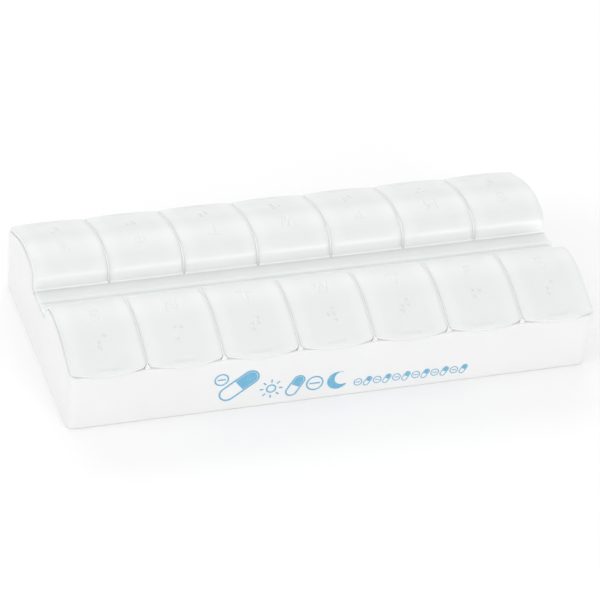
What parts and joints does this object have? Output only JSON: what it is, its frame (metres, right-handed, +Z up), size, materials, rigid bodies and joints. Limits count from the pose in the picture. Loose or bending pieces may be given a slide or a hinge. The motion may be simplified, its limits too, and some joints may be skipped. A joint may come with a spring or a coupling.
{
  "type": "travel pill organizer",
  "caption": "Weekly travel pill organizer: white compartment tray closed by rows of arched translucent flip lids on a central living-hinge spine, with day letters and Braille on the lids.",
  "frame": {"origin": "on the supporting surface, under the middle of the tray", "axes": "+X along the tray's length, +Y towards the back row of lids, +Z up"},
  "size_m": [0.2098, 0.0972, 0.0336],
  "materials": {
    "tray_white": "opaque white moulded polypropylene, satin",
    "lid_translucent": "frosted translucent natural polypropylene, faint grey-green cast, satin",
    "print_blue": "one-colour sky-blue pad print"
  },
  "bodies": {
    "tray": {"base_tray": "tray_white", "hinge_spine": "lid_translucent", "hinge_web_front_sun": "lid_translucent", "hinge_web_front_mon": "lid_translucent", "hinge_web_front_tue": "lid_translucent", "hinge_web_front_wed": "lid_translucent", "hinge_web_front_thu": "lid_translucent", "hinge_web_front_fri": "lid_translucent", "hinge_web_front_sat": "lid_translucent", "hinge_web_back_sun": "lid_translucent", "hinge_web_back_mon": "lid_translucent", "hinge_web_back_tue": "lid_translucent", "hinge_web_back_wed": "lid_translucent", "hinge_web_back_thu": "lid_translucent", "hinge_web_back_fri": "lid_translucent", "hinge_web_back_sat": "lid_translucent"},
    "lid_front_sun": {"lid_front_sun": "lid_translucent"},
    "lid_front_mon": {"lid_front_mon": "lid_translucent"},
    "lid_front_tue": {"lid_front_tue": "lid_translucent"},
    "lid_front_wed": {"lid_front_wed": "lid_translucent"},
    "lid_front_thu": {"lid_front_thu": "lid_translucent"},
    "lid_front_fri": {"lid_front_fri": "lid_translucent"},
    "lid_front_sat": {"lid_front_sat": "lid_translucent"},
    "lid_back_sun": {"lid_back_sun": "lid_translucent"},
    "lid_back_mon": {"lid_back_mon": "lid_translucent"},
    "lid_back_tue": {"lid_back_tue": "lid_translucent"},
    "lid_back_wed": {"lid_back_wed": "lid_translucent"},
    "lid_back_thu": {"lid_back_thu": "lid_translucent"},
    "lid_back_fri": {"lid_back_fri": "lid_translucent"},
    "lid_back_sat": {"lid_back_sat": "lid_translucent"}
  },
  "joints": [
    {"name": "hinge_front_sun", "type": "hinge", "parent": "tray", "child": "lid_front_sun", "pos_m": [-0.08953, -0.0074, 0.02438], "axis": [-1, 0, 0], "range_deg": [0, 78], "deforming": ["hinge_web_front_sun"]},
    {"name": "hinge_front_mon", "type": "hinge", "parent": "tray", "child": "lid_front_mon", "pos_m": [-0.05969, -0.0074, 0.02438], "axis": [-1, 0, 0], "range_deg": [0, 78], "deforming": ["hinge_web_front_mon"]},
    {"name": "hinge_front_tue", "type": "hinge", "parent": "tray", "child": "lid_front_tue", "pos_m": [-0.02984, -0.0074, 0.02438], "axis": [-1, 0, 0], "range_deg": [0, 78], "deforming": ["hinge_web_front_tue"]},
    {"name": "hinge_front_wed", "type": "hinge", "parent": "tray", "child": "lid_front_wed", "pos_m": [0, -0.0074, 0.02438], "axis": [-1, 0, 0], "range_deg": [0, 78], "deforming": ["hinge_web_front_wed"]},
    {"name": "hinge_front_thu", "type": "hinge", "parent": "tray", "child": "lid_front_thu", "pos_m": [0.02984, -0.0074, 0.02438], "axis": [-1, 0, 0], "range_deg": [0, 78], "deforming": ["hinge_web_front_thu"]},
    {"name": "hinge_front_fri", "type": "hinge", "parent": "tray", "child": "lid_front_fri", "pos_m": [0.05969, -0.0074, 0.02438], "axis": [-1, 0, 0], "range_deg": [0, 78], "deforming": ["hinge_web_front_fri"]},
    {"name": "hinge_front_sat", "type": "hinge", "parent": "tray", "child": "lid_front_sat", "pos_m": [0.08953, -0.0074, 0.02438], "axis": [-1, 0, 0], "range_deg": [0, 78], "deforming": ["hinge_web_front_sat"]},
    {"name": "hinge_back_sun", "type": "hinge", "parent": "tray", "child": "lid_back_sun", "pos_m": [0.08953, 0.0074, 0.02438], "axis": [1, 0, 0], "range_deg": [0, 78], "deforming": ["hinge_web_back_sun"]},
    {"name": "hinge_back_mon", "type": "hinge", "parent": "tray", "child": "lid_back_mon", "pos_m": [0.05969, 0.0074, 0.02438], "axis": [1, 0, 0], "range_deg": [0, 78], "deforming": ["hinge_web_back_mon"]},
    {"name": "hinge_back_tue", "type": "hinge", "parent": "tray", "child": "lid_back_tue", "pos_m": [0.02984, 0.0074, 0.02438], "axis": [1, 0, 0], "range_deg": [0, 78], "deforming": ["hinge_web_back_tue"]},
    {"name": "hinge_back_wed", "type": "hinge", "parent": "tray", "child": "lid_back_wed", "pos_m": [0, 0.0074, 0.02438], "axis": [1, 0, 0], "range_deg": [0, 78], "deforming": ["hinge_web_back_wed"]},
    {"name": "hinge_back_thu", "type": "hinge", "parent": "tray", "child": "lid_back_thu", "pos_m": [-0.02984, 0.0074, 0.02438], "axis": [1, 0, 0], "range_deg": [0, 78], "deforming": ["hinge_web_back_thu"]},
    {"name": "hinge_back_fri", "type": "hinge", "parent": "tray", "child": "lid_back_fri", "pos_m": [-0.05969, 0.0074, 0.02438], "axis": [1, 0, 0], "range_deg": [0, 78], "deforming": ["hinge_web_back_fri"]},
    {"name": "hinge_back_sat", "type": "hinge", "parent": "tray", "child": "lid_back_sat", "pos_m": [-0.08953, 0.0074, 0.02438], "axis": [1, 0, 0], "range_deg": [0, 78], "deforming": ["hinge_web_back_sat"]}
  ]
}
